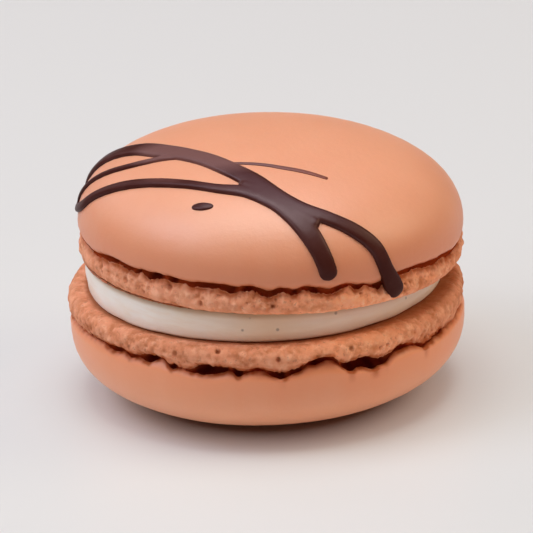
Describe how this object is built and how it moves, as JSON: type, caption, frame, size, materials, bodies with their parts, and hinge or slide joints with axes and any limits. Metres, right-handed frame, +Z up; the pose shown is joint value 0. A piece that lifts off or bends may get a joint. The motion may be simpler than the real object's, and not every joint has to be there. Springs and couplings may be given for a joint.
{
  "type": "french macaron",
  "caption": "French macaron: two domed almond shells with ruffled feet, a cream filling between them and dark chocolate drizzled over the upper shell.",
  "frame": {"origin": "middle of the small flat spot under the lower shell, on the surface that the macaron stands on", "axes": "+Z up through both shells, -Y towards the front, where the drizzle's two ends hang, +X to the right"},
  "size_m": [0.0467, 0.0467, 0.031],
  "materials": {
    "crust": "baked almond meringue in warm apricot brown, smooth satin domes over rough, porous feet",
    "cream": "smooth off-white cream with fine vanilla specks",
    "drizzle": "set dark chocolate with a soft satin sheen"
  },
  "bodies": {
    "root": {"lower_shell": "crust", "filling": "cream", "upper_shell": "crust"}
  },
  "joints": []
}
